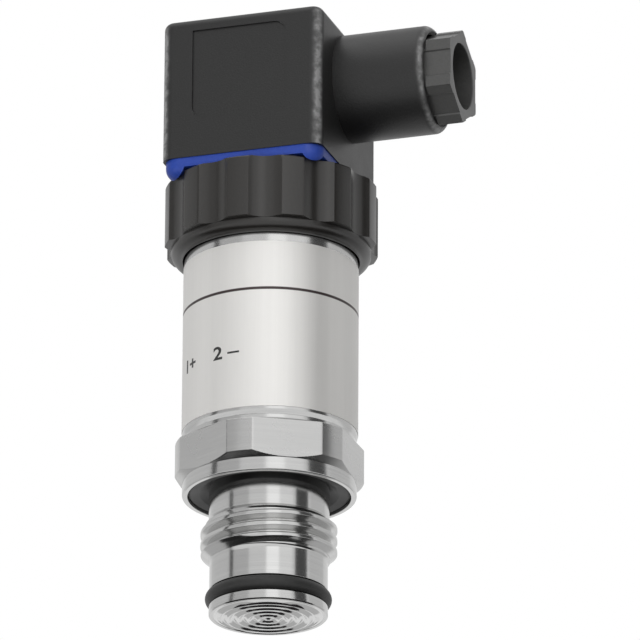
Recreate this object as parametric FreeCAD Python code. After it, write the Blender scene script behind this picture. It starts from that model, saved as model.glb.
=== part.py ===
# Pressure transmitter with a flush diaphragm, a G 1/2 process thread, a slim round case and a
# right-angle cable plug. Millimetres, +Z up along the case's axis.
# The origin is the centre of the sealing shoulder, which is the underside of the hexagon's collar.
# +X points along the cable gland, and -Y is the plug's panel face.
import FreeCAD, Part
import math
import os

V = FreeCAD.Vector
X_AXIS, Y_AXIS, Z_AXIS = V(1, 0, 0), V(0, 1, 0), V(0, 0, 1)

# ---- driving dimensions: process end ----
THREAD_R = 20.955 / 2        # G 1/2 major radius; the plain blank of the thread
SPIGOT_R = 9.05
NECK_R = 9.25
Z_FACE = -19.2               # end of the spigot's rim
Z_NOSE = -19.8               # lowest point of the diaphragm, which stands a little proud of the rim
Z_RIM = -17.7                # lower wall of the O-ring groove
Z_GROOVE = -15.2             # upper wall of the O-ring groove
Z_THREAD_LOW = -10.4
Z_THREAD_HIGH = -3.6
GROOVE_R = 7.35
O_RING_SECTION_R = 1.2
DIAPHRAGM_R = 8.4
WELD_RING_R = 7.9            # inside edge of the diaphragm's welded rim
FOIL = 0.15                  # diaphragm thickness
WAVES = 4
WAVE_PITCH = 1.7
WAVE_HEIGHT = 0.17

# ---- hexagon and case ----
COLLAR_R = 13.4
HEX_AF = 27.0
HEX_CORNER_R = 14.55
Z_COLLAR = 2.0
Z_HEX_TOP = 8.1
GASKET_OUT_R = 12.5
GASKET_IN_R = 9.6
CASE_R = 13.5
CASE_BORE_R = 12.3
Z_CASE_LOW = 9.0
Z_CASE_TOP = 46.5
CASE_THREAD_R = 13.3
Z_CASE_THREAD = 39.6         # the union nut's thread starts here
LABEL = 0.08
Z_LABEL = (10.2, 37.1)

# ---- union nut ----
NUT_R = 16.62
NUT_COLLAR_R = 15.6
NUT_MOUTH_R = 14.0
NUT_BORE_R = 13.4
NUT_CHAMBER_R = 13.7
NUT_LIP_R = 12.0
Z_NUT = (38.5, 50.2)
NUT_COLLAR = 1.45            # plain collar below the flutes, and the height where its cone ends
NUT_CONE = 1.95
FLUTES = 12
FLUTE_DEPTH = 0.8
FLUTE_HALF_ANGLE = 9.0

# ---- plug ----
Z_PLUG = (51.95, 75.0)
PLUG_X = (-13.5, 12.5)
PLUG_HALF_Y = 14.2
WALL = 1.9
GLAND_Z = 66.0
BOSS_R = 8.46
X_BOSS_END = 27.0
GLAND_BORE_R = 7.05
CABLE_R = 5.2
X_GLAND = (22.6, 31.1)
BLADE = (0.8, 6.3)           # contact blade: thickness and width
BLADE_RADIUS = 9.0           # blades stand this far from the axis
RUNNING = 0.05               # running clearance of sliding and turning fits
APART = 0.3                  # clearance between pieces that move past each other


# ---- helpers ----
def turned(profile, axis=Z_AXIS, at=V(0, 0, 0)):
    """Solid of revolution of (radius, height) points about an axis through a point."""
    side = X_AXIS if axis == Z_AXIS else Z_AXIS
    points = [at + side * r + axis * h for r, h in profile]
    face = Part.Face(Part.makePolygon(points + [points[0]]))
    return face.revolve(at, axis, 360)


def rod(radius, low, high, x=0.0, y=0.0):
    return Part.makeCylinder(radius, high - low, V(x, y, low))


def tube(outer, inner, low, high, x=0.0, y=0.0):
    return rod(outer, low, high, x, y).cut(rod(inner, low, high, x, y))


def rod_x(radius, low, high):
    """Cylinder on the cable gland's axis."""
    return Part.makeCylinder(radius, high - low, V(low, 0, GLAND_Z), X_AXIS)


def block(x, y, z):
    """Box from three (low, high) pairs."""
    return Part.makeBox(x[1] - x[0], y[1] - y[0], z[1] - z[0], V(x[0], y[0], z[0]))


def centred(width, depth, z, x=0.0, y=0.0):
    return block((x - width / 2, x + width / 2), (y - depth / 2, y + depth / 2), z)


def upright_edges(shape):
    return [e for e in shape.Edges if len(e.Vertexes) == 2
            and abs(e.tangentAt(e.FirstParameter).dot(Z_AXIS)) > 0.999]


def edges_at(shape, z):
    return [e for e in shape.Edges if abs(e.BoundBox.ZMin - z) < 1e-6 and abs(e.BoundBox.ZMax - z) < 1e-6]


def hex_prism(across_flats, low, high, first_corner):
    """Upright hexagon, first_corner being one corner's angle from +X in degrees."""
    radius = across_flats / math.sqrt(3)
    points = []
    for k in range(7):
        a = math.radians(first_corner + 60 * k)
        points.append(V(radius * math.cos(a), radius * math.sin(a), low))
    return Part.Face(Part.makePolygon(points)).extrude(V(0, 0, high - low))


def around(shape, angle):
    turned_shape = shape.copy()
    turned_shape.rotate(V(0, 0, 0), Z_AXIS, angle)
    return turned_shape


def save(name, shape):
    solids = shape.Solids
    whole = solids[0] if len(solids) == 1 else Part.makeCompound(solids)
    whole.exportStep("parts/%s.step" % name)
    box = whole.BoundBox
    print("%-20s %d solid(s) valid=%s %9.2f mm3  z %.2f..%.2f" % (
        name, len(solids), whole.isValid(), whole.Volume, box.ZMin, box.ZMax))


os.makedirs("parts", exist_ok=True)

# ---- process connection: one turned and milled stainless piece ----
POCKET_R = 7.0
Z_POCKET = -1.0
Z_SPIGOT_TOP = 12.0
CAPILLARY_R = 0.8
SEAT_R = 13.2                # the case stands on this short shoulder
SHELF_R = 10.2               # wider mouth above the pressure capsule
Z_SHELF = 9.5
SEAL_RECESS = 1.9            # depth of the sealing ring's recess in the collar
SKIRT = 0.05                 # the recess is wider than the ring by this much
stem = turned([
    (0, Z_FACE), (SPIGOT_R - 0.15, Z_FACE), (SPIGOT_R + 0.05, Z_FACE + 0.2), (SPIGOT_R + 0.05, Z_RIM),
    (GROOVE_R, Z_RIM), (GROOVE_R, Z_GROOVE), (SPIGOT_R, Z_GROOVE), (SPIGOT_R, Z_THREAD_LOW),
    (9.2, Z_THREAD_LOW), (THREAD_R, Z_THREAD_LOW + 0.75), (THREAD_R, Z_THREAD_HIGH - 0.7),
    (NECK_R, Z_THREAD_HIGH), (NECK_R, SEAL_RECESS), (GASKET_OUT_R + SKIRT, SEAL_RECESS),
    (GASKET_OUT_R + SKIRT, 0), (COLLAR_R - 0.25, 0), (COLLAR_R, 0.25), (COLLAR_R, Z_COLLAR), (0, Z_COLLAR)])
hexagon = hex_prism(HEX_AF, Z_COLLAR, Z_HEX_TOP, 90).common(turned([
    (0, Z_COLLAR), (COLLAR_R, Z_COLLAR), (HEX_CORNER_R, Z_COLLAR + 0.85),
    (HEX_CORNER_R, Z_HEX_TOP), (0, Z_HEX_TOP)]))
seat = turned([
    (0, Z_HEX_TOP), (SEAT_R - 0.3, Z_HEX_TOP), (SEAT_R, Z_HEX_TOP + 0.35), (SEAT_R, Z_CASE_LOW),
    (CASE_BORE_R, Z_CASE_LOW), (CASE_BORE_R, Z_SPIGOT_TOP), (0, Z_SPIGOT_TOP)])
connection = stem.fuse([hexagon, seat]).removeSplitter()
hollows = [
    rod(DIAPHRAGM_R, Z_FACE, Z_FACE + 0.45),
    rod(WELD_RING_R, Z_FACE, Z_FACE + 0.65),
    rod(CAPILLARY_R, Z_FACE, Z_POCKET),
    rod(POCKET_R, Z_POCKET, Z_SPIGOT_TOP),
    rod(SHELF_R, Z_SHELF, Z_SPIGOT_TOP)]
for hollow in hollows:
    connection = connection.cut(hollow)
save("process_connection", connection)

# The diaphragm is a thin foil, pressed into rings and welded round its edge.
Z_FOIL = Z_NOSE + 0.25
WELD_Z = (Z_FACE + 0.1, Z_FACE + 0.45)


def ripples(z):
    """Arcs along a radius, bulging down and up in turn, with the first one centred on the axis."""
    arcs = []
    for k in range(2 * WAVES + 1):
        start, end = (k - 0.5) * WAVE_PITCH / 2, (k + 0.5) * WAVE_PITCH / 2
        swell = WAVE_HEIGHT if k % 2 else -WAVE_HEIGHT
        arc = Part.Arc(V(start, 0, z), V((start + end) / 2, 0, z + swell), V(end, 0, z))
        arcs.append(arc.toShape())
    return arcs


ripple_start, ripple_end = -WAVE_PITCH / 4, (2 * WAVES + 0.5) * WAVE_PITCH / 2
weld_ring = [(ripple_end, Z_FOIL - FOIL / 2), (WELD_RING_R, WELD_Z[0]), (DIAPHRAGM_R, WELD_Z[0]),
             (DIAPHRAGM_R, WELD_Z[1]), (WELD_RING_R, WELD_Z[1]), (ripple_end, Z_FOIL + FOIL / 2)]
rim = Part.makePolygon([V(r, 0, z) for r, z in weld_ring]).Edges
centre_line = Part.makeLine(V(ripple_start, 0, Z_FOIL + FOIL / 2), V(ripple_start, 0, Z_FOIL - FOIL / 2))
section = Part.Face(Part.Wire(Part.__sortEdges__(
    ripples(Z_FOIL - FOIL / 2) + rim + ripples(Z_FOIL + FOIL / 2) + [centre_line])))
section = section.common(block((0, DIAPHRAGM_R + 1), (-1, 1), (Z_NOSE - 1, Z_FACE + 1))).Faces[0]
save("diaphragm", section.revolve(V(0, 0, 0), Z_AXIS, 360))

z_ring = (Z_RIM + Z_GROOVE) / 2
ring = Part.makeTorus(GROOVE_R - 0.05 + O_RING_SECTION_R, O_RING_SECTION_R, V(0, 0, z_ring), Z_AXIS)
save("front_o_ring", ring.cut(rod(GROOVE_R, Z_RIM, Z_GROOVE)))

save("thread_gasket", turned([
    (NECK_R, SEAL_RECESS), (NECK_R, 1.35), (GASKET_IN_R + 0.3, 1.0), (GASKET_IN_R + 1.1, 0.55),
    (GASKET_OUT_R - 0.4, 0.35), (GASKET_OUT_R, 0.6), (GASKET_OUT_R, SEAL_RECESS)]))

# ---- pressure capsule in the hexagon ----
PIN_CIRCLE_R = 4.2
HEADER = (2.0, 6.5)
lead_places = [(PIN_CIRCLE_R * math.cos(math.radians(a)), PIN_CIRCLE_R * math.sin(math.radians(a)))
               for a in (45, 135, 225, 315)]
header = rod(POCKET_R, *HEADER)
LEAD_R = 0.25
FILL_R = 0.8
header_leads = []
Z_SENSOR_BOARD = (13.0, 14.2)
for x, y in lead_places:
    lead = rod(LEAD_R, HEADER[0] - 0.6, Z_SENSOR_BOARD[1] + 0.6, x, y)
    header_leads.append(lead)
    header = header.cut(lead)
fill_plug = rod(FILL_R, HEADER[1] - 2.0, HEADER[1] + 0.3, 0, 5.6)
fill_hole = rod(FILL_R, HEADER[0], HEADER[1], 0, 5.6)
fill_plug = fill_plug.fuse(rod(1.1, HEADER[1], HEADER[1] + 0.4, 0, 5.6)).removeSplitter()
save("sensor_header", header.cut(fill_hole))
save("header_leads", Part.makeCompound(header_leads))
save("fill_plug", fill_plug)
save("pressure_chip", centred(3.0, 3.0, (HEADER[0] - 0.8, HEADER[0])))

# ---- case ----
case = turned([
    (CASE_BORE_R, Z_CASE_LOW), (13.1, Z_CASE_LOW), (CASE_R - 0.1, Z_CASE_LOW + 0.3),
    (CASE_R, Z_CASE_LOW + 0.8), (CASE_R, Z_CASE_THREAD), (CASE_THREAD_R, Z_CASE_THREAD + 0.2),
    (CASE_THREAD_R, Z_CASE_TOP - 0.4), (CASE_THREAD_R - 0.4, Z_CASE_TOP), (CASE_BORE_R, Z_CASE_TOP)])
save("case_tube", case)
save("label_sleeve", tube(CASE_R + LABEL, CASE_R, *Z_LABEL))

# ---- boards and their carrier ----
TOP_BOARD_R = 11.9
TOP_BOARD = (37.6, 38.8)
MAIN_HALF_X = 8.5
MAIN_BOARD_Y = (-0.6, 0.6)
MAIN_BOARD_Z = (15.4, TOP_BOARD[0])
carrier = tube(CASE_BORE_R, 10.4, Z_SPIGOT_TOP, Z_SPIGOT_TOP + 1.6)
for side in (-1, 1):
    x_rail = sorted((side * MAIN_HALF_X, side * 11.5))
    rail = block(x_rail, (-2.0, 2.0), (Z_SPIGOT_TOP, TOP_BOARD[0]))
    carrier = carrier.fuse(rail)
main_board = centred(2 * MAIN_HALF_X + 1.6, MAIN_BOARD_Y[1] - MAIN_BOARD_Y[0], MAIN_BOARD_Z)
carrier = carrier.removeSplitter().cut(main_board)
save("board_carrier", carrier)
sensor_board = rod(9.0, *Z_SENSOR_BOARD).cut(carrier)
for lead in header_leads:
    sensor_board = sensor_board.cut(lead)
save("sensor_board", sensor_board)
save("main_board", main_board)
save("main_board_parts", Part.makeCompound([
    block((-5.0, 2.0), (-2.2, MAIN_BOARD_Y[0]), (22.0, 29.0)),
    block((4.0, 6.5), (-2.6, MAIN_BOARD_Y[0]), (18.0, 20.5)),
    block((-6.5, -4.0), (MAIN_BOARD_Y[1], 2.4), (30.5, 33.5)),
    block((1.0, 6.0), (MAIN_BOARD_Y[1], 1.9), (24.0, 28.0))]))
save("top_board", rod(TOP_BOARD_R, *TOP_BOARD))
flying_leads = [around(rod(0.4, TOP_BOARD[1], 42.5, 9.6), angle) for angle in (0, 90, 180, 270)]
save("flying_leads", Part.makeCompound(flying_leads))

# ---- zero and span adjusters on the top board ----
TRIMMER = (6.6, 6.8, 3.6)
ROTOR_R = 1.6
ROTOR_SEAT = 1.2
for name, side in (("zero", -1), ("span", 1)):
    x_mid = side * 5.6
    z_low = TOP_BOARD[1]
    z_high = z_low + TRIMMER[2]
    body = centred(TRIMMER[0], TRIMMER[1], (z_low, z_high), x_mid)
    save(name + "_trimmer", body.cut(rod(ROTOR_R + RUNNING, z_low + ROTOR_SEAT, z_high, x_mid)))
    rotor = rod(ROTOR_R, z_low + ROTOR_SEAT, z_high + 0.2, x_mid)
    slot = centred(2 * ROTOR_R + 1, 0.5, (z_high - 0.5, z_high + 0.2), x_mid)
    save(name + "_rotor", rotor.cut(slot))

# ---- plug base: the four-pole head that the union nut clamps on the case ----
Z_FLANGE = (46.55, 48.6)
BASE_R = 11.6
Z_BASE_LOW = 43.6
Z_HUB_TOP = 55.0
HUB_R = 3.6
TENON_R = 11.9               # the part of the base that goes down inside the case
FLANGE_R = 13.3
SEAL_GROOVE = (44.4, 46.0)
SEAL_GROOVE_R = 10.85
base = turned([
    (0, Z_BASE_LOW), (TENON_R, Z_BASE_LOW), (TENON_R, SEAL_GROOVE[0]), (SEAL_GROOVE_R, SEAL_GROOVE[0]),
    (SEAL_GROOVE_R, SEAL_GROOVE[1]), (TENON_R, SEAL_GROOVE[1]), (TENON_R, Z_FLANGE[0]),
    (FLANGE_R, Z_FLANGE[0]), (FLANGE_R, Z_FLANGE[1]), (BASE_R, Z_FLANGE[1]), (BASE_R, Z_PLUG[0]),
    (HUB_R, Z_PLUG[0]), (HUB_R, Z_HUB_TOP), (0, Z_HUB_TOP)])
SCREW_R = 1.5
INSERT_R = 2.6
THREADED_Z = (46.5, Z_HUB_TOP)
BLADE_Z = (44.5, 60.5)
TAIL = 1.6                   # width and length of the blade's solder tail
blades = {}
for name, angle in (("contact_pin_1", 90), ("contact_pin_2", 270), ("contact_pin_3", 180), ("earth_pin", 0)):
    blade = centred(BLADE[0], BLADE[1], BLADE_Z, BLADE_RADIUS)
    tail = centred(BLADE[0], TAIL, (BLADE_Z[0] - TAIL, BLADE_Z[0]), BLADE_RADIUS)
    blades[name] = around(blade.fuse(tail).removeSplitter(), angle)
    base = base.cut(blades[name])
threaded_insert = tube(INSERT_R, SCREW_R + RUNNING, *THREADED_Z)
base = base.cut(rod(INSERT_R, *THREADED_Z))
save("plug_base", base)
save("threaded_insert", threaded_insert)
for name, blade in blades.items():
    save(name, blade)

SEAL_SECTION_R = 0.75
seal_centre = V(0, 0, sum(SEAL_GROOVE) / 2)
seal = Part.makeTorus(SEAL_GROOVE_R + SEAL_SECTION_R - 0.05, SEAL_SECTION_R, seal_centre, Z_AXIS)
seal = seal.cut(rod(SEAL_GROOVE_R, *SEAL_GROOVE))
save("head_o_ring", seal.common(rod(CASE_BORE_R - RUNNING, *SEAL_GROOVE)))

# ---- blue plug gasket: a square pad whose corners hang down round the union nut ----
GASKET_Z = (49.0, Z_PLUG[0])
GASKET_INSET = 0.2           # the pad stands back this far from the plug's sides
pad = block((PLUG_X[0] + GASKET_INSET, PLUG_X[1] - GASKET_INSET),
            (-PLUG_HALF_Y + GASKET_INSET, PLUG_HALF_Y - GASKET_INSET), GASKET_Z)
pad = pad.makeFillet(2.5, upright_edges(pad))
pad = pad.makeFillet(2.0, edges_at(pad, GASKET_Z[0]))
pad = pad.cut(rod(NUT_R + APART, GASKET_Z[0] - 1, Z_NUT[1] + APART))
save("plug_gasket", pad.cut(rod(BASE_R, *GASKET_Z)))

# ---- union nut ----
nut = turned([
    (NUT_MOUTH_R + 0.4, Z_NUT[0]), (NUT_COLLAR_R - 0.9, Z_NUT[0]), (NUT_COLLAR_R - 0.3, Z_NUT[0] + 0.3),
    (NUT_COLLAR_R, Z_NUT[0] + 0.9), (NUT_COLLAR_R, Z_NUT[0] + NUT_COLLAR), (NUT_R, Z_NUT[0] + NUT_CONE),
    (NUT_R, Z_NUT[1] - 0.4), (NUT_R - 0.4, Z_NUT[1]), (NUT_LIP_R, Z_NUT[1]),
    (NUT_LIP_R, Z_FLANGE[1] + APART), (NUT_CHAMBER_R, Z_FLANGE[1] + APART),
    (NUT_CHAMBER_R, Z_FLANGE[0] - 0.2),
    (NUT_BORE_R, Z_FLANGE[0] - 0.5), (NUT_BORE_R, 41.2), (NUT_MOUTH_R, 40.6), (NUT_MOUTH_R, Z_NUT[0] + 0.4)])
half_chord = NUT_R * math.sin(math.radians(FLUTE_HALF_ANGLE))
flute_r = (half_chord ** 2 + FLUTE_DEPTH ** 2) / (2 * FLUTE_DEPTH)
flute_place = NUT_R * math.cos(math.radians(FLUTE_HALF_ANGLE)) - FLUTE_DEPTH / 2 + flute_r
flute = rod(flute_r, Z_NUT[0] + 1.0, Z_NUT[1] + 1, 0, -flute_place)
for k in range(FLUTES):
    nut = nut.cut(around(flute, 15 + 30 * k))
save("union_nut", nut)

# ---- plug housing ----
PANEL_X = (-8.4, 6.9)
PANEL_Z = (58.2, 72.9)
PANEL_DEPTH = 0.3
housing = block(PLUG_X, (-PLUG_HALF_Y, PLUG_HALF_Y), Z_PLUG)
housing = housing.makeFillet(1.8, upright_edges(housing))
housing = housing.makeFillet(1.2, edges_at(housing, Z_PLUG[1]))
boss = rod_x(BOSS_R, PLUG_X[0] + 4, X_BOSS_END)
boss = boss.makeFillet(1.3, [e for e in boss.Edges if abs(e.BoundBox.XMin - X_BOSS_END) < 1e-6])
housing = housing.fuse(boss).removeSplitter()
panel = block(PANEL_X, (-PLUG_HALF_Y, -PLUG_HALF_Y + PANEL_DEPTH), PANEL_Z)
rounded = []
for edge in panel.Edges:
    middle = edge.CenterOfMass
    along_y = edge.BoundBox.YLength > PANEL_DEPTH * 0.9
    low_left = abs(middle.x - PANEL_X[0]) < 1e-6 and abs(middle.z - PANEL_Z[0]) < 1e-6
    high_right = abs(middle.x - PANEL_X[1]) < 1e-6 and abs(middle.z - PANEL_Z[1]) < 1e-6
    if along_y and (low_left or high_right):
        rounded.append(edge)
housing = housing.cut(panel.makeFillet(2.0, rounded))
CAVITY_X = (PLUG_X[0] + WALL, PLUG_X[1] - WALL)
CAVITY_Y = PLUG_HALF_Y - WALL
Z_CEILING = 71.0
HEAD_WELL = (71.9, Z_PLUG[1])
cavity = block(CAVITY_X, (-CAVITY_Y, CAVITY_Y), (Z_PLUG[0], Z_CEILING))
pillar = rod(3.4, 66.0, Z_CEILING)
housing = housing.cut(cavity.cut(pillar))
HEAD_WELL_R = 4.2
SCREW_HOLE_R = 1.8
housing = housing.cut(rod(SCREW_HOLE_R, 60, 80)).cut(rod(HEAD_WELL_R, HEAD_WELL[0], HEAD_WELL[1]))
X_BORE = 16.4
housing = housing.cut(rod_x(GLAND_BORE_R, X_BORE, X_BOSS_END)).cut(rod_x(CABLE_R, CAVITY_X[1] - 0.1, X_BORE))
mouth = Part.makeCone(GLAND_BORE_R, GLAND_BORE_R + 0.5, 0.5, V(X_BOSS_END - 0.5, 0, GLAND_Z), X_AXIS)
housing = housing.cut(mouth)
save("plug_housing", housing)

# ---- terminal insert with its contacts ----
INSERT_X = CAVITY_X
insert = block(INSERT_X, (-CAVITY_Y, CAVITY_Y), (Z_PLUG[0] + 0.6, 54.4))
insert = insert.fuse(centred(2 * 10.6, 2 * 10.6, (54.4, 62.0), -0.2)).removeSplitter()
insert = insert.cut(rod(SCREW_HOLE_R, 50, 70)).cut(rod(HUB_R + APART, 50, Z_HUB_TOP + APART))
SLEEVE = (3.0, 7.6)
SLEEVE_Z = (54.4, 61.4)
TERMINAL_R = 1.2
sleeves, terminal_screws = {}, []
names = (("contact_sleeve_1", 90), ("contact_sleeve_2", 270), ("contact_sleeve_3", 180), ("earth_sleeve", 0))
for name, angle in names:
    space = around(centred(SLEEVE[0], SLEEVE[1], (SLEEVE_Z[0], 62.0), BLADE_RADIUS), angle)
    slot_size = (BLADE[0] + 4 * RUNNING, BLADE[1] + 4 * RUNNING)
    slot = around(centred(slot_size[0], slot_size[1], (50, BLADE_Z[1] + APART - 1.0), BLADE_RADIUS), angle)
    tip_slot = around(centred(slot_size[0], slot_size[1], (50, BLADE_Z[1] + APART), BLADE_RADIUS), angle)
    sleeve = around(centred(SLEEVE[0], SLEEVE[1], (SLEEVE_Z[0], 62.6), BLADE_RADIUS), angle)
    insert = insert.cut(space).cut(slot)
    shank = around(rod(TERMINAL_R, 61.4, 62.6, BLADE_RADIUS), angle)
    screw_head = around(rod(1.9, 62.6, 63.8, BLADE_RADIUS), angle)
    screw_slot = around(centred(5.0, 0.5, (63.2, 63.8), BLADE_RADIUS), angle)
    terminal_screws.append(shank.fuse(screw_head).removeSplitter().cut(screw_slot))
    sleeves[name] = sleeve.cut(tip_slot).cut(shank)
save("terminal_insert", insert)
for name, sleeve in sleeves.items():
    save(name, sleeve)
save("terminal_screws", Part.makeCompound(terminal_screws))

# ---- fixing screw down the plug's middle ----
WASHER = (HEAD_WELL[0], HEAD_WELL[0] + 0.6)
save("screw_washer", tube(3.9, SCREW_R + RUNNING, *WASHER))
Z_HEAD_TOP = WASHER[1] + 2.2
screw = rod(SCREW_R, Z_PLUG[0], WASHER[1]).fuse(rod(3.2, WASHER[1], Z_HEAD_TOP)).removeSplitter()
screw = screw.makeFillet(0.4, edges_at(screw, Z_HEAD_TOP))
save("fixing_screw", screw.cut(centred(8.0, 0.9, (Z_HEAD_TOP - 1.0, Z_HEAD_TOP + 1))))

# ---- cable gland ----
grommet = rod_x(GLAND_BORE_R, X_BORE, X_GLAND[0] - 0.6).cut(rod_x(3.6, X_BORE, X_GLAND[0]))
save("cable_grommet", grommet)
save("thrust_washer", rod_x(GLAND_BORE_R - RUNNING, X_GLAND[0] - 0.6, X_GLAND[0]).cut(rod_x(4.2, 20, 30)))

HEX_X = (X_BOSS_END + 0.15, X_GLAND[1])
GLAND_AF = 13.4
GLAND_CORNER_R = 7.7
gland_hex = hex_prism(GLAND_AF, HEX_X[0], HEX_X[1], 0)
gland_hex = gland_hex.common(turned([
    (0, HEX_X[0]), (GLAND_CORNER_R, HEX_X[0]), (GLAND_CORNER_R, HEX_X[1] - 0.4),
    (GLAND_CORNER_R - 0.5, HEX_X[1]), (0, HEX_X[1])]))
gland_hex.rotate(V(0, 0, 0), Y_AXIS, 90)
gland_hex.translate(V(0, 0, GLAND_Z))
gland = gland_hex.fuse(rod_x(GLAND_BORE_R - 2 * RUNNING, X_GLAND[0], HEX_X[0])).removeSplitter()
gland = gland.cut(rod_x(CABLE_R, X_GLAND[0] - 1, X_GLAND[1] + 1))
save("gland_nut", gland)
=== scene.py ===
# %% Load the frame
import math
import bmesh
import bpy
from mathutils import Matrix, Vector


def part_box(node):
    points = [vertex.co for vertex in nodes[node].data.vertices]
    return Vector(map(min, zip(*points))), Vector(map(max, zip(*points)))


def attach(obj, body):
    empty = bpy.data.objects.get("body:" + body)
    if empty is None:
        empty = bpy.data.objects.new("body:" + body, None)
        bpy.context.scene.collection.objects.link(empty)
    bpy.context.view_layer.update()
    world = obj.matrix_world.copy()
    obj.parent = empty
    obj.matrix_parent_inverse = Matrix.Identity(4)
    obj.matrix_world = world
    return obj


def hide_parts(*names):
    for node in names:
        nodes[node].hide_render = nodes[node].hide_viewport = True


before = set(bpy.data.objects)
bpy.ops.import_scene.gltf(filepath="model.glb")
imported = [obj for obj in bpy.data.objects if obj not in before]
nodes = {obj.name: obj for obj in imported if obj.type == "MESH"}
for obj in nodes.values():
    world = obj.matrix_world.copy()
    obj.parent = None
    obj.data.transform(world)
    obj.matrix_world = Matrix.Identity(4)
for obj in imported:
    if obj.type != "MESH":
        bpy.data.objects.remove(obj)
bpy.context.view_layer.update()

# %% [markdown]
# # A pressure transmitter, dressed for its portrait
# The frame holds the working solids: a stainless process end with a thread and a flush diaphragm, a
# slim round case, a fluted union nut and a right-angle cable plug. This lesson gives each piece the
# small radii, threads and finishes that the real ones have. Everything is in metres, in the frame's
# own place. The shapes are drawn in millimetres, because that is how such parts are made, and they
# are scaled by MM as the last step.

# %% Units and the sizes that the frame gives
MM = 0.001
label_low, label_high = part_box("label_sleeve")
nut_low, nut_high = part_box("union_nut")
gland_low, gland_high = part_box("gland_nut")
CASE_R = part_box("case_tube")[1][0] / MM
GLAND_Z = (gland_low[2] + gland_high[2]) / 2 / MM
print("case radius %.2f mm, gland axis at %.2f mm" % (CASE_R, GLAND_Z))

# %% [markdown]
# ## Outlines with round corners
# Nearly every piece here is turned, so it starts as an outline of (radius, height) corners. A real
# lathe tool leaves a small radius at each corner, and that radius is what catches the light. A bevel
# could round the finished solid, but it would round the hidden edges too. So a corner may carry a
# third number, its radius, and this helper swaps that corner for a short arc before anything is spun.

# %% Outline helper
def outline(corners, arc_steps=5):
    points = []
    count = len(corners)
    for k, corner in enumerate(corners):
        here = Vector(corner[:2])
        radius = corner[2] if len(corner) > 2 else 0.0
        if radius <= 0.0:
            points.append(here)
            continue
        to_last = (Vector(corners[k - 1][:2]) - here).normalized()
        to_next = (Vector(corners[(k + 1) % count][:2]) - here).normalized()
        half = to_last.angle(to_next) / 2
        reach = radius / math.tan(half)
        start = here + to_last * reach
        end = here + to_next * reach
        middle = here + (to_last + to_next).normalized() * radius / math.sin(half)
        for s in range(arc_steps + 1):
            along = start.lerp(end, s / arc_steps) - middle
            points.append(middle + along.normalized() * radius)
    return points


def between(start, end, count):
    """Corners along a straight run, so that a later cut has vertices to move."""
    return [tuple(Vector(start).lerp(Vector(end), k / count)) for k in range(count + 1)]


# %% [markdown]
# ## Turning an outline into a solid
# `bmesh.ops.spin` sweeps the outline round an axis. `use_merge` closes the full turn, doubles at the
# axis are merged, and the normals are recalculated, because a spin may come out inside out. A Screw
# modifier would do the same, but then the flats could not be milled.
#
# Flats and flutes are cut afterwards: `limit` gives the largest radius left at an angle and a height,
# every vertex beyond it is drawn in, and a soft minimum leaves a little radius where two cuts meet.

# %% Lathe helper
def soft_min(a, b, blend):
    h = max(blend - abs(a - b), 0.0) / blend
    return min(a, b) - h * h * blend / 4


def mill(verts, limit, blend):
    """Draw every vertex in to the limit at its own angle and height."""
    for v in verts:
        radius = math.hypot(v.co.x, v.co.y)
        if radius > 1e-6:
            angle = math.degrees(math.atan2(v.co.y, v.co.x))
            allowed = soft_min(radius, limit(angle, v.co.z), blend)
            v.co.x *= allowed / radius
            v.co.y *= allowed / radius


def join_into(bm, fresh):
    """Move one bmesh into another, with its faces pointing outwards."""
    bmesh.ops.recalc_face_normals(fresh, faces=fresh.faces)
    carrier = bpy.data.meshes.new("carrier")
    fresh.to_mesh(carrier)
    fresh.free()
    bm.from_mesh(carrier)
    bpy.data.meshes.remove(carrier)


def loop_of(bm, points):
    """A closed loop of vertices and edges in the plane that is swept."""
    verts = [bm.verts.new(p) for p in points]
    return verts + [bm.edges.new((verts[k - 1], verts[k])) for k in range(len(verts))]


def turn(bm, points, steps=240, limit=None, blend=0.1):
    """Spin (radius, height) points in mm about +Z, as one closed shell in bm."""
    fresh = bmesh.new()
    loop = loop_of(fresh, [(p[0], 0, p[1]) for p in points])
    bmesh.ops.spin(fresh, geom=loop, cent=(0, 0, 0), axis=(0, 0, 1), angle=math.tau, steps=steps,
                   use_merge=True)
    if limit:
        mill(fresh.verts, limit, blend)
    bmesh.ops.remove_doubles(fresh, verts=fresh.verts, dist=1e-4)
    bmesh.ops.dissolve_degenerate(fresh, edges=fresh.edges, dist=1e-5)
    join_into(bm, fresh)


# %% [markdown]
# ## From a bmesh to a piece of the frame
# Each finished shape becomes an object at the origin, with its place in its mesh. Edges sharper than
# the given angle stay crisp.

# %% Piece helper
def as_piece(bm, name, material, body, replaced=(), sharp=38):
    """Scale a millimetre bmesh to metres, wrap it in an object, hang it on its body and hide the nodes
    it replaces.
    """
    bmesh.ops.scale(bm, verts=bm.verts, vec=(MM, MM, MM))
    mesh = bpy.data.meshes.new(name)
    bm.to_mesh(mesh)
    bm.free()
    mesh.shade_smooth()
    mesh.set_sharp_from_angle(angle=math.radians(sharp))
    mesh.materials.append(material)
    piece = bpy.data.objects.new(name, mesh)
    bpy.context.scene.collection.objects.link(piece)
    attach(piece, body)
    if replaced:
        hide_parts(*replaced)
    print("%-22s %6d faces" % (name, len(mesh.polygons)))


# %% [markdown]
# ## Shared effects as node groups
# Four effects come back in many finishes, so each is built once as a node group with its own sockets,
# and a material only sets the numbers. The helpers below make a group with its sockets, add a node,
# and write a sum in one line. A group puts out masks, values and heights; the shader stays outside.

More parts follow.
